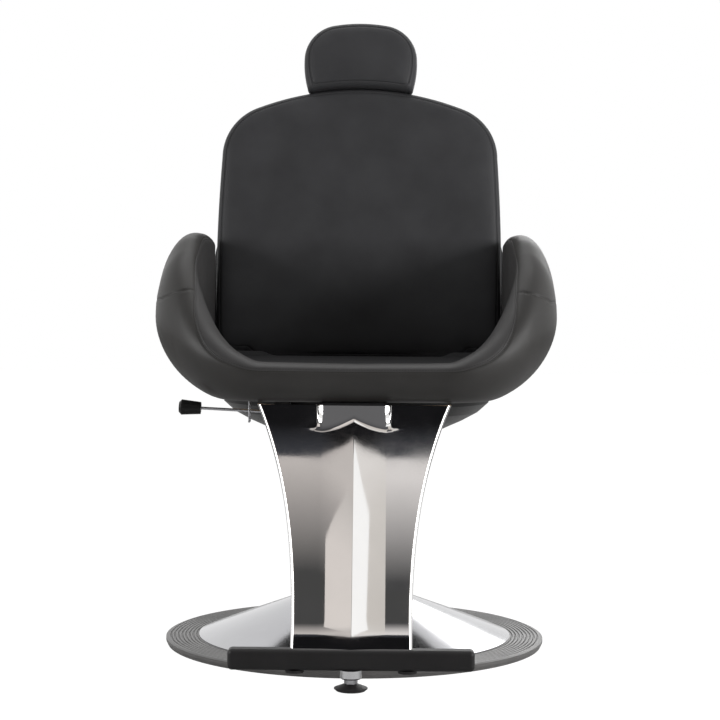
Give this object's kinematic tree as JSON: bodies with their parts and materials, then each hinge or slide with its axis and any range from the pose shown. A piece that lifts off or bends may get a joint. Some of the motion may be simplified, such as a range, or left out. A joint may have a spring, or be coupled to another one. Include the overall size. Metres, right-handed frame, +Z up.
{
  "type": "threading chair",
  "caption": "Salon chair with a reclining tall back, sliding headrest, padded bucket seat, metal footrest panel and a round pump base.",
  "frame": {"origin": "on the floor, on the axis of the pump and of the round base", "axes": "+Z up, -Y the way the chair faces, +X to the right of someone who faces the chair"},
  "size_m": [0.658, 0.8124, 1.0577],
  "materials": {
    "ring_rubber": "ribbed satin rubber",
    "black_rubber": "satin rubber",
    "painted_steel": "black powder coat",
    "zinc_steel": "zinc plated",
    "polished_steel": "polished",
    "chrome_steel": "chromed",
    "polished_aluminium": "polished casting",
    "black_plastic": "satin moulded",
    "plywood": "black stained",
    "upholstery_bucket": "matte upholstery hide, fine grain",
    "upholstery_seat": "matte upholstery hide, fine grain",
    "upholstery_back": "matte upholstery hide, fine grain",
    "upholstery_rear": "matte upholstery hide, fine grain"
  },
  "bodies": {
    "base": {"rubber_ring": "ring_rubber", "base_plate": "painted_steel", "pump_cylinder": "painted_steel", "pump_bolts": "zinc_steel", "base_cover": "polished_steel", "cover_collar": "black_plastic", "pump_gland": "black_plastic", "pedal_bracket": "painted_steel", "pedal_pin": "zinc_steel"},
    "pedal": {"pedal_arm": "zinc_steel", "pedal_pad": "black_rubber"},
    "ram": {"ram": "chrome_steel", "ram_head": "painted_steel", "shroud_tube": "chrome_steel", "thrust_bearing": "zinc_steel"},
    "seat": {"swivel_hub": "painted_steel", "chassis_plate": "painted_steel", "chassis_bolts": "zinc_steel", "chassis_rails": "painted_steel", "seat_board": "plywood", "bucket_seat": "upholstery_bucket", "seat_cushion": "upholstery_seat", "underside_pan": "black_plastic", "footrest_panel": "polished_aluminium", "footrest_bracket": "painted_steel", "footrest_bolts": "zinc_steel", "footrest_bar": "black_rubber", "footrest_bar_core": "painted_steel", "footrest_glides": "black_plastic", "foot_boss": "painted_steel", "hinge_brackets": "painted_steel", "hinge_pins": "zinc_steel", "gas_cylinder": "painted_steel", "gas_gland": "zinc_steel", "gas_mount": "painted_steel", "lever_bracket": "painted_steel", "lever_pin": "zinc_steel", "lever_guide": "zinc_steel"},
    "levelling_foot": {"levelling_pad": "black_plastic", "levelling_nut": "zinc_steel", "levelling_stud": "zinc_steel"},
    "recline_lever": {"lever_rod": "zinc_steel", "lever_knob": "black_plastic"},
    "gas_rod": {"gas_rod": "chrome_steel", "gas_eye": "zinc_steel"},
    "backrest": {"back_frame": "painted_steel", "back_board": "plywood", "back_cushion": "upholstery_back", "back_shell": "upholstery_rear", "gas_pin": "zinc_steel", "headrest_guide": "black_plastic"},
    "headrest_carrier": {"headrest_posts": "chrome_steel", "headrest_yoke": "painted_steel"},
    "headrest": {"headrest_cushion": "upholstery_back", "headrest_plate": "painted_steel", "tilt_pin": "zinc_steel"}
  },
  "joints": [
    {"name": "ram_lift", "type": "slide", "parent": "base", "child": "ram", "axis": [0, 0, 1], "range_m": [0, 0.15]},
    {"name": "seat_swivel", "type": "hinge", "parent": "ram", "child": "seat", "pos_m": [0, 0, 0.34], "axis": [0, 0, 1], "continuous": true},
    {"name": "backrest_recline", "type": "hinge", "parent": "seat", "child": "backrest", "pos_m": [0, 0.205, 0.44], "axis": [-1, 0, 0], "range_deg": [0, 42]},
    {"name": "gas_spring_slide", "type": "slide", "parent": "seat", "child": "gas_rod", "axis": [0, -1, 0], "range_m": [0, 0.0412]},
    {"name": "headrest_height", "type": "slide", "parent": "backrest", "child": "headrest_carrier", "axis": [0, 0.2079, 0.9781], "range_m": [0, 0.12]},
    {"name": "headrest_tilt", "type": "hinge", "parent": "headrest_carrier", "child": "headrest", "pos_m": [0, 0.38024, 0.98549], "axis": [-1, 0, 0], "range_deg": [0, 35]},
    {"name": "release_lever", "type": "hinge", "parent": "seat", "child": "recline_lever", "pos_m": [-0.112, -0.174, 0.389], "axis": [0, -1, 0], "range_deg": [0, 12], "stiffness_Nm_per_rad": 2, "springref_deg": -17.19},
    {"name": "pump_pedal", "type": "hinge", "parent": "base", "child": "pedal", "pos_m": [0, 0.068, 0.118], "axis": [-1, 0, 0], "range_deg": [0, 18], "stiffness_Nm_per_rad": 8, "springref_deg": -28.65},
    {"name": "foot_level", "type": "slide", "parent": "seat", "child": "levelling_foot", "axis": [0, 0, -1], "range_m": [0, 0.0015]}
  ],
  "couplings": [
    {"joint": "gas_spring_slide", "follows": "backrest_recline", "m_per_rad": 0.05573}
  ]
}
